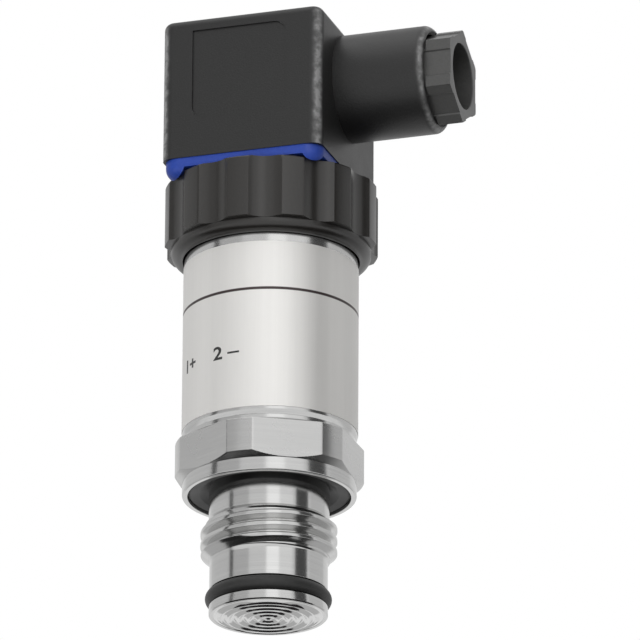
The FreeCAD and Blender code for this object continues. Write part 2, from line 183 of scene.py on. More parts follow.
# %% Node helpers
def new_group(name, inputs, outputs):
    group = bpy.data.node_groups.new(name, "ShaderNodeTree")
    for label, kind, default in inputs:
        socket = group.interface.new_socket(name=label, in_out="INPUT", socket_type=kind)
        socket.default_value = default
    for label in outputs:
        group.interface.new_socket(name=label, in_out="OUTPUT", socket_type="NodeSocketFloat")
    return group, group.nodes.new("NodeGroupInput"), group.nodes.new("NodeGroupOutput")


def add(tree, kind, **settings):
    node = tree.nodes.new(kind)
    for key, value in settings.items():
        setattr(node, key, value)
    return node


def maths(tree, operation, a, b=None):
    node = add(tree, "ShaderNodeMath", operation=operation)
    for k, value in enumerate((a, b)):
        if isinstance(value, (int, float)):
            node.inputs[k].default_value = value
        elif value is not None:
            tree.links.new(value, node.inputs[k])
    return node.outputs[0]


def noise(tree, vector, scale, detail=2.0):
    """Noise read at a vector. Its scale is a number, or a socket of the group."""
    node = add(tree, "ShaderNodeTexNoise")
    node.inputs["Detail"].default_value = detail
    tree.links.new(vector, node.inputs["Vector"])
    if isinstance(scale, (int, float)):
        node.inputs["Scale"].default_value = scale
    else:
        tree.links.new(scale, node.inputs["Scale"])
    return node.outputs[0]


# %% [markdown]
# ### Tool marks
# A lathe leaves fine rings, and a belt leaves fine lines. Both are noise that is stretched along one
# direction. Image textures could show them too, but noise on Object coordinates needs no seams, and it
# keeps its true size on every piece. Stretch holds the lines per metre along each axis.

# %% Tool marks
def build_tool_marks():
    group, start, end = new_group(
        "tool marks",
        [("Stretch", "NodeSocketVector", (40, 40, 9000)), ("Depth", "NodeSocketFloat", 1.0),
         ("Tone", "NodeSocketFloat", 0.5)],
        ["Height", "Mask"])
    place = add(group, "ShaderNodeTexCoord")
    stretch = add(group, "ShaderNodeVectorMath", operation="MULTIPLY")
    group.links.new(place.outputs["Object"], stretch.inputs[0])
    group.links.new(start.outputs["Stretch"], stretch.inputs[1])
    fine = noise(group, stretch.outputs[0], 1.0, 3.0)
    broad = noise(group, stretch.outputs[0], 0.21, 1.0)
    tone = start.outputs["Tone"]
    fine_part = maths(group, "MULTIPLY", fine, tone)
    broad_part = maths(group, "MULTIPLY", broad, maths(group, "SUBTRACT", 1.0, tone))
    height = maths(group, "MULTIPLY", fine, start.outputs["Depth"])
    group.links.new(height, end.inputs["Height"])
    group.links.new(maths(group, "ADD", fine_part, broad_part), end.inputs["Mask"])
    return group


tool_marks = build_tool_marks()
print("effect:", tool_marks.name)

# %% [markdown]
# ### Moulded grain and handling haze
# Moulded grain is the tiny pebbling that a spark-eroded mould leaves on plastic: smooth Voronoi cells
# with a little noise on top. Handling haze is a slow, cloudy change in gloss, from fingers and storage,
# and it runs between two roughness values.

# %% Moulded grain and handling haze
PEBBLE_SHARE = 0.6
CLOUD_LOW, CLOUD_HIGH = 0.3, 0.7


def build_grain():
    group, start, end = new_group(
        "moulded grain", [("Size", "NodeSocketFloat", 4000.0), ("Depth", "NodeSocketFloat", 1.0)],
        ["Height", "Mask"])
    place = add(group, "ShaderNodeTexCoord")
    pebbles = add(group, "ShaderNodeTexVoronoi", feature="SMOOTH_F1")
    group.links.new(place.outputs["Object"], pebbles.inputs["Vector"])
    group.links.new(start.outputs["Size"], pebbles.inputs["Scale"])
    speckle = noise(group, place.outputs["Object"], start.outputs["Size"], 4.0)
    both = maths(group, "ADD", maths(group, "MULTIPLY", pebbles.outputs[0], PEBBLE_SHARE), speckle)
    height = maths(group, "MULTIPLY", both, start.outputs["Depth"])
    group.links.new(height, end.inputs["Height"])
    group.links.new(speckle, end.inputs["Mask"])
    return group


def build_haze():
    group, start, end = new_group(
        "handling haze",
        [("Size", "NodeSocketFloat", 120.0), ("Low", "NodeSocketFloat", 0.35),
         ("High", "NodeSocketFloat", 0.5)],
        ["Value"])
    place = add(group, "ShaderNodeTexCoord")
    cloud = noise(group, place.outputs["Object"], start.outputs["Size"], 5.0)
    spread = add(group, "ShaderNodeMapRange")
    spread.inputs["From Min"].default_value = CLOUD_LOW
    spread.inputs["From Max"].default_value = CLOUD_HIGH
    group.links.new(cloud, spread.inputs["Value"])
    group.links.new(start.outputs["Low"], spread.inputs["To Min"])
    group.links.new(start.outputs["High"], spread.inputs["To Max"])
    group.links.new(spread.outputs[0], end.inputs["Value"])
    return group


moulded_grain, handling_haze = build_grain(), build_haze()
print("effects:", moulded_grain.name, "and", handling_haze.name)

# %% [markdown]
# ### Painted edge highlight
# The plug's rounded corners get a painted highlight: a pale colour where the edges would catch the
# light. A pointiness mask needs a dense mesh, and the plug's faces are large. Its rounded edges lie
# between square faces, so the product of two parts of the object's own normal is zero on every face and
# largest along an edge.

# %% Painted edge highlight
HIGHLIGHT_SHARPNESS = 4.0
HIGHLIGHT_FLOOR = 0.5


# This mask paints a pale, speckled highlight along rounded edges, where they would catch the light.
def build_painted_edge_highlight():
    group, start, end = new_group(
        "painted edge highlight",
        [("Reach", "NodeSocketFloat", 2.0), ("Breakup", "NodeSocketFloat", 900.0)],
        ["Mask"])
    place = add(group, "ShaderNodeTexCoord")
    split = add(group, "ShaderNodeSeparateXYZ")
    group.links.new(place.outputs["Normal"], split.inputs[0])
    x, y, z = [maths(group, "ABSOLUTE", split.outputs[k]) for k in range(3)]
    slant = maths(group, "MULTIPLY", maths(group, "MULTIPLY", x, maths(group, "MAXIMUM", y, z)),
                  start.outputs["Reach"])
    speckle = noise(group, place.outputs["Object"], start.outputs["Breakup"])
    broken = maths(group, "MULTIPLY", slant, maths(group, "ADD", speckle, HIGHLIGHT_FLOOR))
    painted_glint = maths(group, "POWER", maths(group, "MINIMUM", broken, 1.0), HIGHLIGHT_SHARPNESS)
    group.links.new(painted_glint, end.inputs["Mask"])
    return group


edge_highlight = build_painted_edge_highlight()
print("effect:", edge_highlight.name)

# %% [markdown]
# ## Finishes
# A finish is a Principled shader with a tint, a haze and a bump. The tint runs between two close
# colours with a mask, since no real surface is one flat colour. Numbers that are the same all over sit
# on the shader's own sockets.

# %% Material helpers
def finish(name, metallic=0.0, specular=0.5):
    material = bpy.data.materials.new(name)
    material.use_nodes = True
    shader = material.node_tree.nodes["Principled BSDF"]
    shader.inputs["Metallic"].default_value = metallic
    shader.inputs["Specular IOR Level"].default_value = specular
    return material, material.node_tree, shader


def effect(tree, group, **values):
    node = add(tree, "ShaderNodeGroup", node_tree=group)
    for label, value in values.items():
        node.inputs[label].default_value = value
    return node


def tint(tree, mask, dark, light):
    """A colour that runs from one colour, or a socket, to another with a mask."""
    mix = add(tree, "ShaderNodeMix", data_type="RGBA")
    tree.links.new(mask, mix.inputs["Factor"])
    mix.inputs["B"].default_value = (*light, 1)
    if isinstance(dark, tuple):
        mix.inputs["A"].default_value = (*dark, 1)
    else:
        tree.links.new(dark, mix.inputs["A"])
    return mix.outputs["Result"]


def bump(tree, shader, height, distance):
    node = add(tree, "ShaderNodeBump")
    node.inputs["Strength"].default_value = 1.0
    node.inputs["Distance"].default_value = distance
    tree.links.new(height, node.inputs["Height"])
    tree.links.new(node.outputs[0], shader.inputs["Normal"])


def hazy(tree, shader, size, rough):
    """Roughness that drifts between two values."""
    haze = effect(tree, handling_haze, Size=size, Low=rough[0], High=rough[1])
    tree.links.new(haze.outputs["Value"], shader.inputs["Roughness"])


# %% [markdown]
# ### Metals
# Stainless steel is one metal in three finishes. Turned faces carry rings round the axis, so the noise
# is stretched round it and changes quickly with height. The milled flats are brushed, with fine lines
# across. The diaphragm is bright rolled foil, and is almost a mirror. Inside are tinned contacts, zinc
# plated screws and turned brass. The last two columns are the roughness range and the bump, in metres.

# %% Metals
METAL_HAZE = 90.0


def metal(name, dark, light, stretch, rough, depth):
    material, tree, shader = finish(name, metallic=1.0)
    marks = effect(tree, tool_marks, Stretch=stretch)
    tree.links.new(tint(tree, marks.outputs["Mask"], dark, light), shader.inputs["Base Color"])
    hazy(tree, shader, METAL_HAZE, rough)
    bump(tree, shader, marks.outputs["Height"], depth)
    return material


turned_steel = metal("turned steel", (0.50, 0.50, 0.50), (0.70, 0.70, 0.69),
                     (60, 60, 5200), (0.13, 0.19), 1.6e-6)
milled_steel = metal("milled steel", (0.50, 0.50, 0.50), (0.62, 0.62, 0.61),
                     (300, 300, 9000), (0.22, 0.30), 1.5e-6)
foil_steel = metal("bright foil steel", (0.60, 0.60, 0.60), (0.74, 0.74, 0.73),
                   (200, 200, 900), (0.08, 0.12), 2e-7)
tinned = metal("tinned contact", (0.60, 0.60, 0.58), (0.78, 0.78, 0.75),
               (900, 900, 900), (0.25, 0.4), 2e-6)
zinc = metal("zinc plated screw", (0.50, 0.51, 0.53), (0.68, 0.69, 0.70),
             (500, 500, 3000), (0.25, 0.38), 2e-6)
brass = metal("turned brass", (0.62, 0.44, 0.16), (0.82, 0.62, 0.28),
              (60, 60, 5000), (0.2, 0.3), 2e-6)
print("metals:", len(bpy.data.materials))

# %% [markdown]
# ### Plastics and rubber
# The plug is glass-filled nylon with a coarse grain, the gland and the nut are smoother, and rubber is
# dull with a slow haze. All share one recipe: the grain gives a faint tint and a bump, and the plug
# adds a pale painted highlight along its edges. The numbers are the roughness range, the grain's cells
# per metre and the bump in metres.

# %% Plastics and rubber
MOULDING_HAZE = 110.0


def moulding(name, dark, light, rough, grain_size, depth, specular=0.5, highlight_colour=None):
    material, tree, shader = finish(name, specular=specular)
    grain = effect(tree, moulded_grain, Size=grain_size)
    colour = tint(tree, grain.outputs["Mask"], dark, light)
    # A pale painted highlight colour goes on the edges through the edge mask.
    if highlight_colour:
        highlight = effect(tree, edge_highlight)
        colour = tint(tree, highlight.outputs["Mask"], colour, highlight_colour)
    tree.links.new(colour, shader.inputs["Base Color"])
    hazy(tree, shader, MOULDING_HAZE, rough)
    bump(tree, shader, grain.outputs["Height"], depth)
    return material


# The plug's pale edge colour is a painted highlight on its rounded corners.
plug_plastic = moulding("grained plug plastic", (0.010, 0.010, 0.010), (0.022, 0.022, 0.022),
                        (0.36, 0.44), 3800, 1.6e-5, 0.45, highlight_colour=(0.26, 0.26, 0.26))
gland_plastic = moulding("smooth gland plastic", (0.045, 0.045, 0.044), (0.075, 0.075, 0.073),
                         (0.32, 0.4), 3000, 8e-6, 0.6)
nut_plastic = moulding("satin nut plastic", (0.007, 0.006, 0.005), (0.014, 0.012, 0.010),
                       (0.27, 0.34), 2600, 5e-6, 0.75)
blue_rubber = moulding("blue gasket rubber", (0.012, 0.045, 0.30), (0.022, 0.065, 0.40),
                       (0.38, 0.5), 1800, 4e-6, 0.4)
black_rubber = moulding("black rubber", (0.012, 0.012, 0.012), (0.022, 0.022, 0.021),
                        (0.4, 0.55), 1500, 4e-6)
grey_plastic = moulding("grey carrier plastic", (0.36, 0.36, 0.34), (0.46, 0.46, 0.44),
                        (0.45, 0.55), 1500, 6e-6)
chip_plastic = moulding("chip plastic", (0.02, 0.02, 0.02), (0.04, 0.04, 0.04),
                        (0.5, 0.6), 3000, 6e-6)
board_lacquer = moulding("board lacquer", (0.01, 0.10, 0.05), (0.02, 0.16, 0.08),
                         (0.25, 0.35), 900, 3e-6)
trimmer_plastic = moulding("trimmer plastic", (0.02, 0.07, 0.30), (0.03, 0.10, 0.40),
                           (0.3, 0.4), 1200, 3e-6)
ink_black = moulding("printed ink", (0.02, 0.02, 0.02), (0.03, 0.03, 0.03),
                     (0.4, 0.5), 2000, 1e-6)
print("mouldings too:", len(bpy.data.materials))

# %% [markdown]
# ### The label's foil
# The label is a satin foil with one printed line near its top. The line could be a thin ring of its
# own, but ink has no height. So the material compares the height of the Object coordinate with the
# line's, which no seam can break. The foil has a faint upright grain and a soft, half metallic sheen.

# %% Label foil
LINE_Z = 29.35 * MM
LINE_HALF = 0.22 * MM
LINE_SOFTNESS = 0.2
INK = (0.045, 0.032, 0.032)


def printed_line(tree):
    """A mask that is 1 on the line, with a thin soft edge."""
    place = add(tree, "ShaderNodeTexCoord")
    split = add(tree, "ShaderNodeSeparateXYZ")
    tree.links.new(place.outputs["Object"], split.inputs[0])
    away = maths(tree, "ABSOLUTE", maths(tree, "SUBTRACT", split.outputs["Z"], LINE_Z))
    line = add(tree, "ShaderNodeMapRange")
    line.inputs["From Min"].default_value = LINE_HALF * (1 - LINE_SOFTNESS)
    line.inputs["From Max"].default_value = LINE_HALF * (1 + LINE_SOFTNESS)
    line.inputs["To Min"].default_value = 1.0
    line.inputs["To Max"].default_value = 0.0
    tree.links.new(away, line.inputs["Value"])
    return line.outputs[0]


def build_label_foil():
    material, tree, shader = finish("label foil", metallic=0.4, specular=0.6)
    marks = effect(tree, tool_marks, Stretch=(3500, 3500, 60), Tone=0.4)
    foil = tint(tree, marks.outputs["Mask"], (0.74, 0.73, 0.71), (0.82, 0.81, 0.79))
    tree.links.new(tint(tree, printed_line(tree), foil, INK), shader.inputs["Base Color"])
    hazy(tree, shader, 70.0, (0.36, 0.42))
    bump(tree, shader, marks.outputs["Height"], 6e-7)
    return material


label_foil = build_label_foil()
print("all finishes:", len(bpy.data.materials))

# %% [markdown]
# ## The process end
# The real piece is turned from one bar: a rim that holds the diaphragm, a groove for the O-ring, a
# spigot, a G 1/2 thread, a neck and a collar. It is one outline here too, written in the order in which
# a tool would meet it, from the middle of the face outwards and then up.

# %% Stem and collar
THREAD_R, ROOT_R, PITCH = 10.4775, 9.36, 1.814
THREAD_LOW, THREAD_HIGH = -10.4, -3.6
FACE_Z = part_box("process_connection")[0][2] / MM
SEAT_R, RIM_R = 7.9, 8.4
SPIGOT_R, NECK_R, UNDERCUT_R = 9.05, 9.25, 8.8
GROOVE_LOW, GROOVE_HIGH, GROOVE_R = -17.7, -15.2, 7.35
COLLAR_R, COLLAR_TOP = 13.4, 2.3
RING_SEAT_R, RING_SEAT_Z = 12.55, 1.9


def build_stem():
    seat = [(0, FACE_Z + 0.7), (SEAT_R, FACE_Z + 0.7), (SEAT_R, FACE_Z + 0.45),
            (RIM_R, FACE_Z + 0.45)]
    rim = [(RIM_R, FACE_Z + 0.04, 0.03), (8.9, FACE_Z, 0.02), (SPIGOT_R + 0.05, FACE_Z + 0.2, 0.03)]
    groove = [(SPIGOT_R + 0.05, GROOVE_LOW, 0.08), (GROOVE_R, GROOVE_LOW), (GROOVE_R, GROOVE_HIGH),
              (SPIGOT_R, GROOVE_HIGH, 0.1)]
    core = [(SPIGOT_R, THREAD_LOW - 0.17, 0.28), (ROOT_R, THREAD_LOW + 0.07),
            (ROOT_R, THREAD_HIGH - 1.1)]
    undercut = [(UNDERCUT_R, THREAD_HIGH - 1.0), (UNDERCUT_R, THREAD_HIGH - 0.82),
                (NECK_R, THREAD_HIGH - 0.36, 0.03)]
    collar = [(NECK_R, RING_SEAT_Z), (RING_SEAT_R, RING_SEAT_Z), (RING_SEAT_R, 0, 0.06),
              (COLLAR_R, 0, 0.28), (COLLAR_R, COLLAR_TOP), (0, COLLAR_TOP)]
    bm = bmesh.new()
    turn(bm, outline(seat + rim + groove + core + undercut + collar))
    return bm


stem = build_stem()
print("stem: %d faces before its thread" % len(stem.faces))

# %% [markdown]
# ## The thread
# A thread is a ridge swept along a helix, so `spin` gets a small lift at each step, `dvec`. Stacked
# rings would look right from one side only, and a bump would leave the outline smooth. The ridge runs
# on past both ends, and then the cones that a lathe would cut there trim it away. Its foot stays hidden
# just inside the stem.

# %% Thread
HALF_CREST, HALF_ROOT, CREST_ROUND = 0.27, 0.90, 0.13
STEPS_PER_TURN = 150
THREAD_START = THREAD_LOW - 1.304
THREAD_END = THREAD_HIGH + 1.0
HIDDEN_R = 8.6
LOW_SLOPE, HIGH_SLOPE = 1.27, 1.9


def thread_limit(z):
    """The cones that trim the thread's two ends."""
    low_cut = SPIGOT_R + 0.03 + (z - THREAD_LOW + 0.15) * LOW_SLOPE
    high_cut = UNDERCUT_R + 0.2 + (THREAD_HIGH - 0.65 - z) * HIGH_SLOPE
    return max(min(THREAD_R, low_cut, high_cut), HIDDEN_R)


def add_ridge(bm):
    foot_r = ROOT_R - 0.08
    ridge = outline([(foot_r, -HALF_ROOT), (THREAD_R, -HALF_CREST, CREST_ROUND),
                     (THREAD_R, HALF_CREST, CREST_ROUND), (foot_r, HALF_ROOT)], arc_steps=3)
    turns = (THREAD_END - THREAD_START) / PITCH
    steps = round(turns * STEPS_PER_TURN)
    helix = bmesh.new()
    loop = loop_of(helix, [(-p[0], 0, THREAD_START + p[1]) for p in ridge])
    bmesh.ops.spin(helix, geom=loop, cent=(0, 0, 0), axis=(0, 0, 1), angle=math.tau * turns,
                   dvec=(0, 0, PITCH * turns / steps), steps=steps, use_merge=False)
    bmesh.ops.holes_fill(helix, edges=helix.edges, sides=0)
    for v in helix.verts:
        radius = math.hypot(v.co.x, v.co.y)
        kept = min(radius, thread_limit(v.co.z))
        v.co.x *= kept / radius
        v.co.y *= kept / radius
    join_into(bm, helix)
    print("thread: %.2f turns" % turns)


add_ridge(stem)
as_piece(stem, "stem_and_thread", turned_steel, "root", ["process_connection"], 32)

# %% [markdown]
# ## The hexagon
# A milled hexagon starts as a turned blank with a chamfer, and six passes of the cutter leave the
# flats. Where the chamfer cone meets a flat the edge is a curve. A prism with bevelled corners would
# have straight edges there. So the blank is spun with close rows on the cone, and every vertex outside
# a flat is drawn in to it, and that curve comes by itself.

# %% Hexagon
HALF_AF = 13.5
HEX_CORNER_R = 14.55
HEX_Z = (2.0, 8.1)


def hexagon_limit(angle, z):
    off = math.radians((angle + 30) % 60 - 30)
    return HALF_AF / math.cos(off)


def build_hexagon():
    low, high = HEX_Z
    cone = between((13.35, low), (HEX_CORNER_R, low + 0.85), 12)
    wall = between((HEX_CORNER_R, low + 1.2), (HEX_CORNER_R, high - 0.5), 3)
    top = [(HEX_CORNER_R, high, 0.1), (12.95, high), (0, high)]
    bm = bmesh.new()
    turn(bm, outline([(0, low)] + cone + wall + top), 720, hexagon_limit, 0.07)
    return bm


as_piece(build_hexagon(), "hexagon", milled_steel, "root", sharp=24)

# %% [markdown]
# ## The ring above the hexagon
# A bright turned shoulder stands between the hexagon and the case. It belongs to the same bar, and it
# gets the turned finish, so it is a piece of its own here. Its inside is hollow, as the bar's is.

# %% Shoulder ring
def build_shoulder_ring():
    outside = [(0, 8.0), (12.9, 8.0), (13.25, 8.45, 0.25), (13.25, 9.0)]
    spigot = [(12.3, 9.0), (12.3, 12.0), (10.2, 12.0)]
    inside = [(10.2, 9.5), (7.0, 9.5), (7.0, 8.2), (0, 8.2)]
    bm = bmesh.new()
    turn(bm, outline(outside + spigot + inside))
    return bm


as_piece(build_shoulder_ring(), "shoulder_ring", turned_steel, "root")

# %% [markdown]
# ## The diaphragm
# The diaphragm is a foil as thin as paper, pressed into rings so that it can bow, and it stands a
# little proud of the spigot's rim. A bump would not change how the rings hide one another, so the foil
# is real: its outline is a cosine wave, out along the underside and back along the top, spun round the
# axis and closed by a flat welded edge.

# %% Diaphragm
NOSE_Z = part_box("diaphragm")[0][2] / MM
WAVE_PITCH = 1.55
WAVES = 4.75
WAVE_HEIGHT = 0.2
HALF_FOIL = 0.06
WAVE_STEPS = 76


def build_diaphragm():
    middle = NOSE_Z + WAVE_HEIGHT + HALF_FOIL + 0.01
    under, over = [], []
    for k in range(WAVE_STEPS + 1):
        r = WAVES * WAVE_PITCH * k / WAVE_STEPS
        z = middle - WAVE_HEIGHT * math.cos(math.tau * r / WAVE_PITCH)
        under.append((r, z - HALF_FOIL))
        over.append((r, z + HALF_FOIL))
    weld = [(SEAT_R, FACE_Z + 0.14), (RIM_R, FACE_Z + 0.09), (RIM_R, FACE_Z + 0.4),
            (SEAT_R, FACE_Z + 0.4)]
    bm = bmesh.new()
    turn(bm, under + weld + over[::-1])
    return bm


as_piece(build_diaphragm(), "diaphragm_foil", foil_steel, "root", ["diaphragm"], 60)

# %% [markdown]
# ## The O-ring and the sealing ring
# Both are rubber and slightly squeezed. The O-ring is a circle spun round the axis, a torus in all but
# name, and the groove's floor flattens its inner side, which a ready-made torus could not show. The
# sealing ring lies under the collar, and its moulded face slopes away from the neck.

# %% O-ring
CORD_R = 1.2
CORD_CENTRE_R = 8.5
CORD_STEPS = 40


def build_o_ring():
    middle = (GROOVE_LOW + GROOVE_HIGH) / 2
    section = []
    for k in range(CORD_STEPS):
        a = math.tau * k / CORD_STEPS
        r = max(CORD_CENTRE_R + CORD_R * math.cos(a), GROOVE_R)
        section.append((r, middle + CORD_R * math.sin(a)))
    bm = bmesh.new()
    turn(bm, section)
    return bm


as_piece(build_o_ring(), "o_ring", black_rubber, "root", ["front_o_ring"])


# %% Sealing ring
def build_sealing_ring():
    inside = [(NECK_R, RING_SEAT_Z), (NECK_R, 1.35)]
    face = [(9.9, 1.0, 0.3), (10.7, 0.55, 0.4), (12.1, 0.35, 0.2), (12.5, 0.6, 0.1)]
    bm = bmesh.new()
    turn(bm, outline(inside + face + [(12.5, RING_SEAT_Z)]))
    return bm


as_piece(build_sealing_ring(), "sealing_ring", black_rubber, "root", ["thread_gasket"])

# %% [markdown]
# ## The case and its label
# The case is a thin tube with a rolled lower edge and a waist near its top, where the head's O-ring
# seals. The label is wrapped round it and stands proud by less than a tenth of a millimetre. A decal in
# the case's material would be simpler, but a real label has an edge that catches the light.

# %% Case
def build_case():
    foot = [(12.3, 9.0), (13.1, 9.0, 0.1), (CASE_R, 9.8, 0.5)]
    top = [(CASE_R, 39.6), (13.3, 39.8), (13.3, 46.1), (12.9, 46.5), (12.3, 46.5)]
    bm = bmesh.new()
    turn(bm, outline(foot + top))
    return bm


as_piece(build_case(), "case", turned_steel, "root", ["case_tube"])

# %% Label
LABEL_R = label_high[0] / MM
LABEL_EDGE = 0.03


def build_label():
    low, high = label_low[2] / MM, label_high[2] / MM
    bm = bmesh.new()
    turn(bm, outline([(CASE_R, low), (LABEL_R, low, LABEL_EDGE), (LABEL_R, high, LABEL_EDGE),
                      (CASE_R, high)]))
    return bm


as_piece(build_label(), "label", label_foil, "root", ["label_sleeve"])

# %% [markdown]
# ## The terminal marks
# Two plain marks name the terminals. Each starts as text and becomes a flat mesh. `bisect_plane`
# cuts it into narrow upright strips, so that no long edge dips into the label, and its vertices are
# then bent round the case one by one. A Curve modifier would bend it too, but it would tie the mark
# to another object.

# %% Terminal marks
MARK_SIZE = 2.94
MARK_FOOT_Z = 18.5
MARK_WEIGHT = 0.06
MARK_HALF_THICK = 0.012
MARK_GAP = 0.004
MARK_WIDTH = 1.2
STRIP, STRIPS_EACH_WAY = 0.2, 16


def flat_text(name, text):
    curve = bpy.data.curves.new(name, "FONT")
    curve.body = text
    curve.size = MARK_SIZE
    curve.align_x = "CENTER"
    curve.extrude = MARK_HALF_THICK
    curve.offset = MARK_WEIGHT
    flat = bpy.data.objects.new(name, curve)
    mesh = bpy.data.meshes.new_from_object(flat)
    bpy.data.objects.remove(flat)
    bm = bmesh.new()
    bm.from_mesh(mesh)
    bpy.data.meshes.remove(mesh)
    return bm


def printed_mark(name, text, turn_degrees):
    """Text bent round the label, its middle at an angle from -Y."""
    bm = flat_text(name, text)
    bmesh.ops.remove_doubles(bm, verts=bm.verts, dist=1e-5)
    bmesh.ops.scale(bm, verts=bm.verts, vec=(MARK_WIDTH, 1, 1))
    for k in range(-STRIPS_EACH_WAY, STRIPS_EACH_WAY + 1):
        everything = bm.verts[:] + bm.edges[:] + bm.faces[:]
        bmesh.ops.bisect_plane(bm, geom=everything, plane_co=(k * STRIP, 0, 0),
                               plane_no=(1, 0, 0))
    for v in bm.verts:
        angle = math.radians(turn_degrees) + v.co.x / LABEL_R
        r = LABEL_R + MARK_GAP + v.co.z
        v.co = Vector((r * math.sin(angle), -r * math.cos(angle), MARK_FOOT_Z + v.co.y))
    bmesh.ops.recalc_face_normals(bm, faces=bm.faces)
    as_piece(bm, name, ink_black, "root")


printed_mark("terminal_mark_plus", "1+", -46.5)
printed_mark("terminal_mark_minus", "2 \u2013", -12)

# %% [markdown]
# ## The union nut
# The nut is moulded: a thick ring with twelve shallow flutes for the fingers. Its lower edge is a large
# quarter round, and the lands between the flutes end just above it. The blank is spun, and each flute
# is a cylinder cut into its wall. A boolean could cut them, but it would leave long thin faces.

# %% Union nut
NUT_R, NUT_COLLAR_R, NUT_LIP_R = nut_high[0] / MM, 15.6, 13.7
NUT_LOW, NUT_HIGH = nut_low[2] / MM, nut_high[2] / MM
NUT_FOOT_ROUND = 1.6
FLUTE_HALF = math.radians(9.0)
FLUTE_DEPTH = 0.8


def flute_limit(angle, z):
    """The radius of a round cutter's path, measured from the nut's axis."""
    off = math.radians(angle % 30 - 15)
    half_chord = NUT_R * math.sin(FLUTE_HALF)
    cutter_r = (half_chord ** 2 + FLUTE_DEPTH ** 2) / (2 * FLUTE_DEPTH)
    centre = NUT_R * math.cos(FLUTE_HALF) - FLUTE_DEPTH + cutter_r
    aside = centre * math.sin(off)
    if abs(aside) >= cutter_r:
        return NUT_R * 2
    return centre * math.cos(off) - math.sqrt(cutter_r ** 2 - aside ** 2)


def outer_wall_only(limit, inner_r):
    """Leave the bore alone: only radii beyond inner_r are cut."""
    return lambda angle, z: max(limit(angle, z), inner_r)


def build_union_nut():
    foot = [(NUT_LIP_R, NUT_LOW, 0.1), (NUT_COLLAR_R, NUT_LOW, NUT_FOOT_ROUND),
            (NUT_COLLAR_R, NUT_LOW + 1.68)]
    land_end = between((NUT_COLLAR_R + 0.02, NUT_LOW + 1.7), (NUT_R, NUT_LOW + 1.85), 10)
    wall = between((NUT_R, NUT_LOW + 2.4), (NUT_R, NUT_HIGH - 0.9), 4)
    top = [(NUT_R, NUT_HIGH - 0.3), (NUT_R - 0.15, NUT_HIGH - 0.1), (NUT_R - 0.45, NUT_HIGH),
           (14.9, NUT_HIGH), (12.0, NUT_HIGH, 0.2)]
    bore = [(12.0, 48.9), (13.7, 48.9), (13.7, 46.35), (13.4, 46.05), (13.4, 41.2), (14.0, 40.6),
            (14.0, NUT_LOW + 0.9), (NUT_LIP_R, NUT_LOW + 0.6)]
    corners = foot + land_end + wall + top + bore
    bm = bmesh.new()
    turn(bm, outline(corners, arc_steps=9), 480, outer_wall_only(flute_limit, 14.9), 0.1)
    return bm


as_piece(build_union_nut(), "fluted_union_nut", nut_plastic, "union_nut", ["union_nut"],
         28)

# %% [markdown]
# ## The gland nut
# A small hexagon whose corners are turned off, with a round threaded body that goes into the boss. Each
# flat is sunk a little along its middle, as moulded nuts are. It is turned upright and then laid along
# the gland's axis, because that keeps one lathe helper for every turned piece.

# %% Gland nut
GLAND_LOW, GLAND_FAR = 22.6, gland_high[0] / MM
GLAND_HEX_LOW = 27.15
GLAND_BODY_R, GLAND_BORE_R = 6.95, 5.2
GLAND_AF, GLAND_CORNER = 13.4, 7.73
RECESS, RECESS_HALF, RECESS_SLOPE = 0.2, 2.1, 0.1


def gland_limit(angle, z):
    """A hexagon whose flats are sunk a little along their middle."""
    off = math.radians(angle % 60 - 30)
    half = GLAND_AF / 2
    inside = RECESS_HALF - abs(half * math.tan(off))
    return (half - RECESS * min(max(inside / RECESS_SLOPE, 0.0), 1.0)) / math.cos(off)


def build_gland_nut():
    body = [(GLAND_BORE_R, GLAND_LOW), (GLAND_BODY_R, GLAND_LOW, 0.15),
            (GLAND_BODY_R, GLAND_HEX_LOW), (7.0, GLAND_HEX_LOW), (GLAND_CORNER, GLAND_HEX_LOW, 0.1)]
    wall = between((GLAND_CORNER, GLAND_HEX_LOW + 0.4), (GLAND_CORNER, GLAND_FAR - 0.5), 3)
    end = [(GLAND_CORNER, GLAND_FAR - 0.12), (GLAND_CORNER - 0.12, GLAND_FAR), (6.4, GLAND_FAR),
           (GLAND_BORE_R, GLAND_FAR, 0.15)]
    bm = bmesh.new()
    turn(bm, outline(body + wall + end), 720, outer_wall_only(gland_limit, 6.3), 0.03)
    lay_down = Matrix.Rotation(math.radians(90), 3, "Y")
    bmesh.ops.rotate(bm, verts=bm.verts, cent=(0, 0, 0), matrix=lay_down)
    bmesh.ops.translate(bm, verts=bm.verts, vec=(0, 0, GLAND_Z))
    return bm


as_piece(build_gland_nut(), "cable_gland_nut", gland_plastic, "gland_nut", ["gland_nut"],
         28)

# %% [markdown]
# ## Finishes on the frame's own solids
# The plug housing, the gasket and everything inside keep the frame's meshes. Each one gets its finish
# through its material slots, by the record's slot names, so nothing is left with a flat colour.

# %% Dress the frame's solids
by_slot = {
    "stainless": turned_steel, "rubber_black": black_rubber, "label": label_foil,
    "leads": tinned, "chip": chip_plastic, "board": board_lacquer, "carrier": grey_plastic,
    "trimmer": trimmer_plastic, "brass": brass, "plug_black": plug_plastic,
    "nut_black": nut_plastic, "contact": tinned, "screw_steel": zinc, "gasket_blue": blue_rubber}
for node in nodes.values():
    for slot in node.material_slots:
        slot.material = by_slot[slot.material.name.split(".")[0]]
print("dressed", len(nodes), "frame nodes")

# %% [markdown]
# ## The camera
# The object is seen from a little below, through a very long lens, so its upright lines stay nearly
# parallel. The lens follows from the distance and the width of the view at the object.

# %% Camera
AZIMUTH, ELEVATION, ROLL = math.radians(18.3), math.radians(-20.48), math.radians(0.36)
DISTANCE = 1.2
VIEW_WIDTH = 98.9 * MM
AIM_HEIGHT, AIM_ASIDE = 29.17 * MM, 7.60 * MM


def direction(azimuth, elevation):
    """The unit vector at an azimuth from -Y towards +X and an elevation, in radians."""
    level = math.cos(elevation)
    return Vector((math.sin(azimuth) * level, -math.cos(azimuth) * level, math.sin(elevation)))


